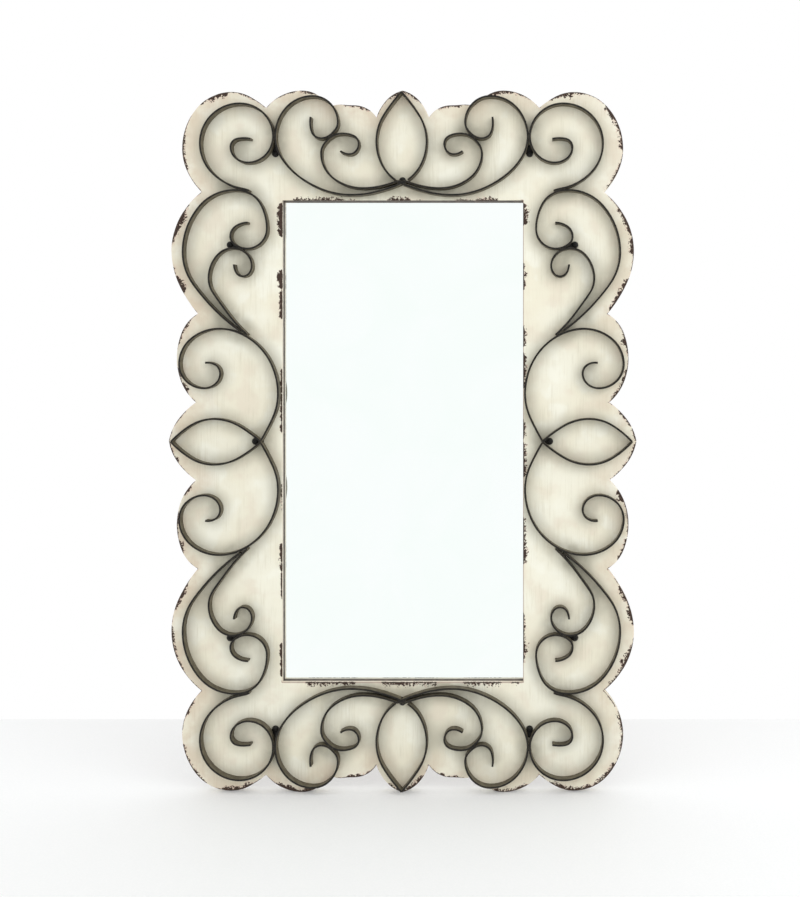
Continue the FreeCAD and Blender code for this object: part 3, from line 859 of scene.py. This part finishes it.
def face_points(outline, opening, near_outline):
    """Points on the board's face: rings along its edges and a grid between them."""
    clear = RING_INSETS[0]
    out_steps = [step.normalized() for step in inward(outline)]
    points = []
    for point in grid_points(board_high.x, board_high.z, FACE_SPACING):
        if abs(point.x) < OPENING_X + clear and abs(point.y) < OPENING_Z + clear:
            continue
        distance, index = near_outline.find(point.x, point.y)
        if distance > clear and (point - outline[index]).dot(out_steps[index]) > 0:
            points.append(point)
    for inset in RING_INSETS:
        points += inset_points(outline[::2], out_steps[::2], near_outline, inset, 0.9)
        points += [point - step * inset for point, step in zip(opening[::2], inward(opening)[::2])]
    return points


def make_board(steel):
    """The painted board, its edges eased and worn, with the measures that its paint needs."""
    outer_loop, opening_loop = front_loops("frame_board")
    outline, cusps = refine(counter_clockwise(outer_loop), OUTLINE_SPACING)
    opening = refine(counter_clockwise(opening_loop), OUTLINE_SPACING)[0]
    near_outline = Nearness([outline])
    edge_wear = [outline_wear_at(*place) for place in lobe_places(outline, cusps)]

    vertices, faces = [], []
    outer_ids = add_rings(vertices, faces, board_rings(outline, BACK_Y))
    opening_ids = add_rings(vertices, faces, board_rings(opening, GLASS_Y, -1), hole=True)
    first = len(vertices)
    vertices += [(x, FACE_Y, z) for x, z in face_points(outline, opening, near_outline)]
    fill(vertices, faces, [outer_ids[0], opening_ids[0]], range(first, len(vertices)))
    painted = len(faces)
    corners = rebate_corners()
    rebate = [[(x, y, z) for x, z in corners] for y in (GLASS_Y, BACK_Y)]
    ledge_ids, back_ids = add_rings(vertices, faces, rebate, hole=True)
    fill(vertices, faces, [ledge_ids, opening_ids[-1]], back=True)
    first = len(vertices)
    back_steps = [step.normalized() for step in inward(outline)[::3]]
    for inset in BACK_INSETS:
        spots = inset_points(outline[::3], back_steps, near_outline, inset, 0.95)
        vertices += [(spot.x, BACK_Y, spot.y) for spot in spots]
    fill(vertices, faces, [outer_ids[-1], back_ids], range(first, len(vertices)), back=True)

    board = mesh_object("board", vertices, faces, slot="painted_board", materials=(PAINTED, BARE))
    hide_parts("frame_board")
    for polygon in board.data.polygons:
        polygon.material_index = 0 if polygon.index < painted else 1

    measures = []
    for vertex in board.data.vertices:
        x, y, z = vertex.co
        distance, index = near_outline.find(x, z)
        off_opening = math.hypot(max(0, abs(x) - OPENING_X), max(0, abs(z) - OPENING_Z))
        crowd = (steel.crowd(x, z, CROWD_REACH) - CROWD_FREE) / (CROWD_FULL - CROWD_FREE)
        measures.append((
            min(FAR_MM, distance / MM),
            min(FAR_MM, off_opening / MM),
            (y - FACE_Y) / MM,
            min(FAR_MM, steel.find(x, z)[0] / MM),
            max(0.0, min(1.0, crowd)),
            edge_wear[index],
            opening_wear_at(x, z),
        ))
    for name, values in zip(BOARD_MEASURES, zip(*measures)):
        board.data.attributes.new(name, "FLOAT", "POINT").data.foreach_set("value", values)
    smooth(board)


def rebate_corners():
    """The corners of the rebate at the back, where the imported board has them."""
    places = [vertex.co for vertex in NODES["frame_board"].data.vertices]
    ledge = [place for place in places if abs(place.y - GLASS_Y) < SAME_PLACE]
    x, z = max(place.x for place in ledge), max(place.z for place in ledge)
    return [(-x, -z), (x, -z), (x, z), (-x, z)]


# The strips and their welds

STRIP_SPACING = 1.5 * MM
STRIP_EASED = 0.4 * MM

# A seam is where two strips lie this close. A weld covers the middle of it.
SEAM_SPACING = 0.5 * MM
SEAM_GAP = 0.8 * MM
SEAM_LEAST_POINTS = 4
WELD_LENGTH = 15 * MM
WELD_HALF_WIDTH = 1.7 * MM
WELD_HALF_DEPTH = 2.024 * MM
WELD_SET_BACK = 0.25 * MM
WELD_SIDES = 14
WELD_SPACING = 0.4 * MM
WELD_LEAST_SPACES = 8
WELD_TIP = 0.12

# The ripples of a weld, their length and how much they swell it, and its lumps to a metre
WELD_RIPPLE = 1.3 * MM
WELD_RIPPLE_SWELL = 0.08
WELD_LUMPS = 300
WELD_LUMP_SWELL = 0.25

# The welds that join the end scrolls' tails, wider and bent like the tails
HUB_REACH = 9 * MM
HUB_HALF_WIDTH = 2.8 * MM
HUB_RISE = 2.4 * MM
HUB_SHIFT = 0.5 * MM
HUB_STEPS = 20


def make_strips():
    """The strips, each in the place of its node, with smooth bends and eased front edges."""
    for node in STRIPS:
        low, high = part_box(node)
        loops = [refine(counter_clockwise(loop), STRIP_SPACING)[0] for loop in front_loops(node)]
        shape = prism(loops, low.y, high.y, STRIP_EASED)
        strip = mesh_object(f"{node}_strip", *shape, slot="dark_steel", materials=(DARK_STEEL,))
        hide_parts(node)
        smooth(strip, 50)


def seams():
    """Where strips touch: runs of points along the middle of each gap between two strips."""
    loops, owners = [], []
    for node in STRIPS:
        for loop in front_loops(node):
            loops.append(refine(loop, SEAM_SPACING)[0])
            owners.append(node)
    near = Nearness(loops)
    runs, before = [], None
    for number, loop in enumerate(loops):
        for index, point in enumerate(loop):
            beside = [
                (distance, other) for _, other, distance
                in near.tree.find_range((point.x, point.y, 0), SEAM_GAP)
                if owners[near.owner[other]] > owners[number]
            ]
            if not beside:
                continue
            _, other = min(beside)
            middle = (point + near.points[other]) / 2
            if before == (number, index - 1, near.owner[other]):
                runs[-1].append(middle)
            else:
                runs.append([middle])
            before = (number, index, near.owner[other])
    return [run for run in runs if len(run) >= SEAM_LEAST_POINTS]


def hubs():
    """The runs of the two welds that join the end scrolls' tails in the middle."""
    runs = []
    for upwards in (1, -1):
        tails = [
            vertex.co.z for node in STRIPS if node.startswith("end_")
            for vertex in NODES[node].data.vertices
            if vertex.co.z * upwards > 0 and abs(vertex.co.x) < HUB_REACH
        ]
        level = sum(tails) / len(tails)
        shares = [step / HUB_STEPS for step in range(-HUB_STEPS, HUB_STEPS + 1)]
        rises = [HUB_SHIFT + HUB_RISE * (abs(share) - 0.5) for share in shares]
        runs.append([
            Vector((share * HUB_REACH, level + upwards * rise))
            for share, rise in zip(shares, rises)
        ])
    return runs


def weld(run, half_width=WELD_HALF_WIDTH):
    """A rippled bead along the middle of a seam."""
    middle = run[len(run) // 2]
    along = (run[-1] - run[0]).normalized()
    run = [point for point in run if (point - middle).length < WELD_LENGTH / 2]
    length = max((run[-1] - run[0]).length, 2 * WELD_RIPPLE)
    middle = (run[0] + run[-1]) / 2
    across = Vector((-along.y, along.x))
    spaces = max(WELD_LEAST_SPACES, math.ceil(length / WELD_SPACING))
    vertices = []
    for station in range(spaces + 1):
        share = 2 * station / spaces - 1
        swell = max(WELD_TIP, math.sqrt(max(0.0, 1 - share ** 4)))
        ripple = 1 + WELD_RIPPLE_SWELL * math.cos(math.pi * share * length / WELD_RIPPLE)
        centre = middle + along * share * length / 2
        nearest = min(run, key=lambda point: (point - centre).length)
        centre = centre + across * (nearest - centre).dot(across)
        lump = 1 + WELD_LUMP_SWELL * noise.noise(Vector((centre.x, 0, centre.y)) * WELD_LUMPS)
        for side in range(WELD_SIDES):
            angle = 2 * math.pi * side / WELD_SIDES
            spot = centre + across * math.cos(angle) * half_width * swell * ripple * lump
            depth = WELD_HALF_DEPTH * (1 - math.sin(angle) * swell * ripple)
            vertices.append((spot.x, STRIP_FRONT_Y + WELD_SET_BACK + depth, spot.y))
    first_end = list(range(WELD_SIDES))[::-1]
    last_end = list(range(len(vertices) - WELD_SIDES, len(vertices)))
    return vertices, tube_faces(len(vertices), WELD_SIDES) + [first_end, last_end]


def make_welds(runs):
    """The welds between the strips."""
    beads = [weld(run) for run in runs] + [weld(run, HUB_HALF_WIDTH) for run in hubs()]
    welds = mesh_object("welds", *joined(beads), slot="dark_steel", materials=(DARK_STEEL,))
    smooth(welds, 60)


# Tabs, screws, bumpers and rings

TAB_EDGE = 0.3 * MM
TAB_TONGUE = 9 * MM
TAB_TONGUE_RADIUS = 2.0 * MM
TAB_STEPS, TONGUE_STEPS = 32, 12

# A tongue's least length, in the difference of its tab's radius and its own, and how much further
# off than the nearest weld another may be for the tongue to point between them
TONGUE_LEAST = 1.2
WELD_TIE = 1.2

# A pan head's sides, the rings on its crown, and the cross cut into it, in shares of its radius
# and, for the cross's depth, of its height
HEAD_SIDES, CROWN_RINGS = 64, 16
CROSS_REACH, CROSS_HALF_WIDTH, CROSS_BLUR, CROSS_DEPTH = 0.55, 0.13, 0.05, 0.5

RING_SIDES = 20
RING_SPACING = 0.8 * MM
RING_SHARPEST = math.radians(100)


def solids(node):
    """The boxes of a node's separate solids, as (middle x, middle z, half width)."""
    bm = merged(NODES[node].data)
    waiting, found = set(bm.verts), []
    while waiting:
        group, edge_of = [], [waiting.pop()]
        while edge_of:
            vertex = edge_of.pop()
            group.append(vertex.co.copy())
            for edge in vertex.link_edges:
                other = edge.other_vert(vertex)
                if other in waiting:
                    waiting.discard(other)
                    edge_of.append(other)
        left, right = min(co.x for co in group), max(co.x for co in group)
        low, high = min(co.z for co in group), max(co.z for co in group)
        found.append(((left + right) / 2, (low + high) / 2, (right - left) / 2))
    bm.free()
    return sorted(found)


def turned(profile, sides=40):
    """The vertices and faces of a piece turned about Y from (radius, y) points."""
    vertices = []
    for radius, y in profile:
        for side in range(sides):
            angle = 2 * math.pi * side / sides
            vertices.append((radius * math.cos(angle), y, radius * math.sin(angle)))
    return vertices, tube_faces(len(vertices), sides)


def stand_for(node, name, shape, material, slot):
    """One piece that stands for a node of loose solids."""
    piece = mesh_object(name, *shape, slot=slot, materials=(material,))
    bm = merged(piece.data)
    bmesh.ops.recalc_face_normals(bm, faces=bm.faces)
    bm.to_mesh(piece.data)
    bm.free()
    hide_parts(node)
    smooth(piece)


def cross_depth(x, z):
    """How deep the cross recess is at a place on a head of radius 1, from 0 to 1."""
    def bar(along, beside):
        ends = (CROSS_REACH - abs(along)) / CROSS_BLUR
        sides = (CROSS_HALF_WIDTH - abs(beside)) / CROSS_BLUR
        return max(0.0, min(1.0, ends, sides))
    return max(bar(x, z), bar(z, x))


def shoulder(radius, height, width, rise, turns):
    """A quarter round in a profile, about a (radius, height), at these turns in degrees."""
    angles = [math.radians(turn) for turn in turns]
    return [(radius + width * math.cos(a), height + rise * math.sin(a)) for a in angles]


def pan_head(radius, seat, top):
    """A pan head with a cross recess, from its seat to its top along Y.

    Its profile is in shares of its radius and height: rim, shoulder and crown.
    """
    height = top - seat
    profile = [(0.0, 0.0), (1.0, 0.0), (1.0, 0.30)]
    profile += shoulder(0.62, 0.30, 0.38, 0.55, range(15, 90, 15))
    crown = [0.60 * (1 - ring / CROWN_RINGS) for ring in range(CROWN_RINGS + 1)]
    profile += [(share, 0.86 + 0.14 * math.sqrt(1 - (share / 0.62) ** 2)) for share in crown]
    vertices, faces = turned([(r * radius, seat + y * height) for r, y in profile], HEAD_SIDES)
    first_crown = (len(profile) - len(crown)) * HEAD_SIDES
    for index in range(first_crown, len(vertices)):
        x, y, z = vertices[index]
        cut = CROSS_DEPTH * height * cross_depth(x / radius, z / radius)
        vertices[index] = (x, y - cut, z)
    return vertices, faces


def tab_outline(radius, length):
    """A round tab with a tongue that runs out along +X, as a counter-clockwise loop."""
    length = max(length, TONGUE_LEAST * (radius - TAB_TONGUE_RADIUS))
    tangent = math.acos((radius - TAB_TONGUE_RADIUS) / length)
    loop = []
    for step in range(TAB_STEPS + 1):
        angle = tangent + (2 * math.pi - 2 * tangent) * step / TAB_STEPS
        loop.append(Vector((radius * math.cos(angle), radius * math.sin(angle))))
    for step in range(TONGUE_STEPS + 1):
        angle = -tangent + 2 * tangent * step / TONGUE_STEPS
        loop.append(Vector((
            length + TAB_TONGUE_RADIUS * math.cos(angle), TAB_TONGUE_RADIUS * math.sin(angle)
        )))
    return loop


def make_tabs(runs):
    """The tabs, each with a tongue towards the weld that it is made fast by."""
    low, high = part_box("scroll_tabs")
    welds = [run[len(run) // 2] for run in runs + hubs()]
    shapes = []
    for x, z, radius in solids("scroll_tabs"):
        here = Vector((x, z))
        ways = [place - here for place in welds]
        nearest = min(way.length for way in ways)
        level = [way for way in ways if way.length < WELD_TIE * nearest]
        to_weld = sum(level, Vector((0, 0))) / len(level)
        angle = math.atan2(to_weld.y, to_weld.x)
        loop = [
            here + Vector((
                point.x * math.cos(angle) - point.y * math.sin(angle),
                point.x * math.sin(angle) + point.y * math.cos(angle),
            ))
            for point in tab_outline(radius, min(TAB_TONGUE, to_weld.length))
        ]
        shapes.append(prism([loop], low.y, high.y, TAB_EDGE))
    stand_for("scroll_tabs", "tabs", joined(shapes), BLACK_STEEL, "black_steel")


def make_heads():
    """The screws' heads, each in the place of its solid."""
    for node, name, material, slot in (
        ("scroll_screws", "screws_front", BLACK_STEEL, "black_steel"),
        ("back_panel_screws", "screws_panel", ZINC, "plated_screws"),
        ("hanger_screws", "screws_hanger", ZINC, "plated_screws"),
    ):
        low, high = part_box(node)
        seat, top = (high.y, low.y) if node == "scroll_screws" else (low.y, high.y)
        shape = joined(
            moved(pan_head(radius, seat, top), x, z) for x, z, radius in solids(node)
        )
        stand_for(node, name, shape, material, slot)


def make_bumpers():
    """Round rubber bumpers with a soft shoulder and a dimple, in shares of radius and height."""
    low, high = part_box("wall_bumpers")
    shares = [(0.0, 0.0), (0.96, 0.0), (1.0, 0.06)]
    shares += shoulder(0.62, 0.68, 0.33, 0.32, range(0, 91, 15))
    shares += [(0.30, 1.0), (0.22, 0.88), (0.0, 0.88)]
    shapes = []
    for x, z, radius in solids("wall_bumpers"):
        profile = [(r * radius, low.y + y * (high.y - low.y)) for r, y in shares]
        shapes.append(moved(turned(profile), x, z))
    stand_for("wall_bumpers", "bumpers", joined(shapes), RUBBER, "black_rubber")


def make_rings():
    """The hanging rings of round wire, each on its own body."""
    for side in ("left", "right"):
        node = f"hanging_ring_{side}"
        low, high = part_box(node)
        radius, level = (high.y - low.y) / 2, (high.y + low.y) / 2
        outline = refine(counter_clockwise(front_loops(node)[0]), RING_SPACING, RING_SHARPEST)[0]
        vertices = []
        for point, step in zip(outline, inward(outline)):
            for turn in range(RING_SIDES):
                angle = 2 * math.pi * turn / RING_SIDES
                reach = radius * (1 - math.cos(angle))
                x, z = point.x + step.x * reach, point.y + step.y * reach
                vertices.append((x, level + radius * math.sin(angle), z))
        faces = tube_faces(len(vertices), RING_SIDES, closed=True)
        ring = mesh_object(
            f"wire_ring_{side}", vertices, faces, f"{side}_ring", "plated_steel", (NICKEL,)
        )
        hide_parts(node)
        smooth(ring, 70)


# The nodes that keep their shape


def dress(node, material, bevel=0.0):
    """A CAD node's material, and a small bevel."""
    piece = NODES[node]
    piece.data.materials.clear()
    piece.data.materials.append(material)
    if bevel:
        piece.data.shade_smooth()
        modifier = piece.modifiers.new("eased", "BEVEL")
        modifier.width = bevel
        modifier.segments = 2
        modifier.limit_method = "ANGLE"
        modifier.angle_limit = math.radians(50)
        modifier.harden_normals = True
    else:
        piece.data.shade_flat()


# The floor, the light and the camera


def make_floor():
    """The pale floor that the mirror stands on, ending a little behind it."""
    level = cad_bounds[0][2]
    back = FACE_Y + FLOOR_BEHIND
    front = back - 2 * FLOOR_REACH
    corners = [
        (-FLOOR_REACH, front, level), (FLOOR_REACH, front, level),
        (FLOOR_REACH, back, level), (-FLOOR_REACH, back, level),
    ]
    mesh_object("floor", corners, [(0, 1, 2, 3)], body=None, materials=(floor_white(),))


def make_light():
    """A white studio: even light all round and one large soft lamp from the right."""
    world = bpy.data.worlds.new("studio")
    bpy.context.scene.world = world
    world.use_nodes = True
    background = world.node_tree.nodes["Background"]
    background.inputs["Color"].default_value = (1, 1, 1, 1)
    background.inputs["Strength"].default_value = 1.0
    light = bpy.data.lights.new("key", "AREA")
    light.shape = "RECTANGLE"
    light.size = light.size_y = LAMP_WIDTH
    light.energy = LAMP_WATTS
    lamp = bpy.data.objects.new("key", light)
    bpy.context.scene.collection.objects.link(lamp)
    lamp.location = LAMP_PLACE
    lamp.rotation_euler = (-lamp.location).to_track_quat("-Z", "Y").to_euler()


def make_camera():
    """The photograph's camera, square to the board, its frame shifted over the object."""
    camera = bpy.data.cameras.new("camera")
    camera.sensor_width = SENSOR_WIDTH_MM
    focal_px = CAMERA_DISTANCE / (FACE_MM_PER_PX * MM)
    camera.lens = focal_px * SENSOR_WIDTH_MM / IMAGE_HEIGHT
    camera.shift_x = (IMAGE_WIDTH / 2 - FOOT_X_PX) / IMAGE_HEIGHT
    camera.shift_y = (FOOT_Y_PX - IMAGE_HEIGHT / 2) / IMAGE_HEIGHT
    viewer = bpy.data.objects.new("camera", camera)
    bpy.context.scene.collection.objects.link(viewer)
    viewer.location = (
        (FOOT_X_PX - MIDDLE_X_PX) * FACE_MM_PER_PX * MM,
        FACE_Y - CAMERA_DISTANCE,
        (MIDDLE_Y_PX - FOOT_Y_PX) * FACE_MM_PER_PX * MM,
    )
    viewer.rotation_euler = (math.pi / 2, 0, 0)
    bpy.context.scene.camera = viewer


touching = seams()
make_board(Nearness([refine(loop, 2 * MM)[0] for node in STRIPS for loop in front_loops(node)]))
make_strips()
make_welds(touching)
make_tabs(touching)
make_heads()
make_bumpers()
make_rings()
dress("mirror_glass", mirror_glass())
dress("back_panel", hardboard(), 0.4 * MM)
for strap_side in ("left", "right"):
    dress(f"hanger_strap_{strap_side}", NICKEL, 0.15 * MM)
make_floor()
make_light()
make_camera()
bpy.context.scene.view_settings.view_transform = "Standard"
